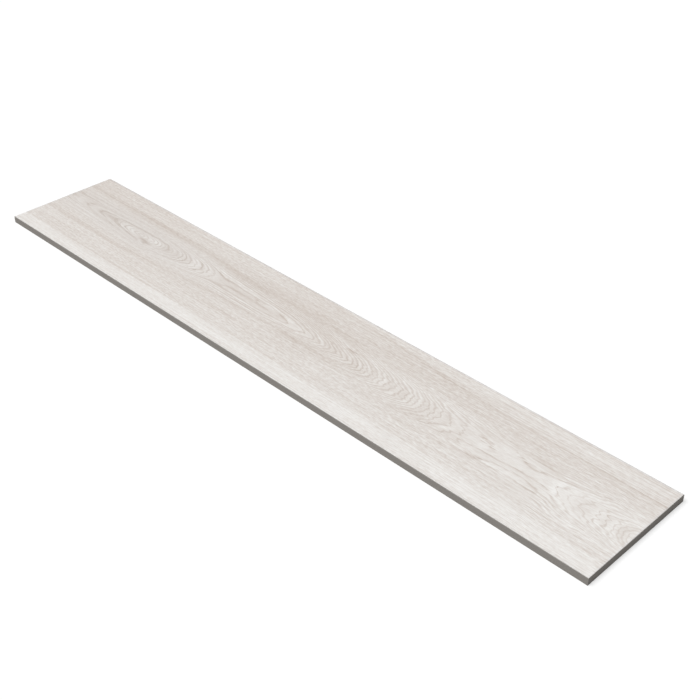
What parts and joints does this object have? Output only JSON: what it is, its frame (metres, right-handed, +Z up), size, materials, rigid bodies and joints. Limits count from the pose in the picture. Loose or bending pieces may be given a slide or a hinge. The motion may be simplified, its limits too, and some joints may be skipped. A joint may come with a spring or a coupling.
{
  "type": "wood look porcelain plank tile",
  "caption": "Long rectangular porcelain floor plank with a pale whitewashed-oak print, square ground edges, a fine bevel round the face and a keyed back for mortar.",
  "frame": {"origin": "middle of the underside, level with the ribs of the back", "axes": "+X along the plank, +Y across it, +Z up out of the printed face"},
  "size_m": [0.9, 0.15, 0.0085],
  "materials": {
    "porcelain": "matte"
  },
  "bodies": {
    "root": {"plank_tile": "porcelain"}
  },
  "joints": []
}
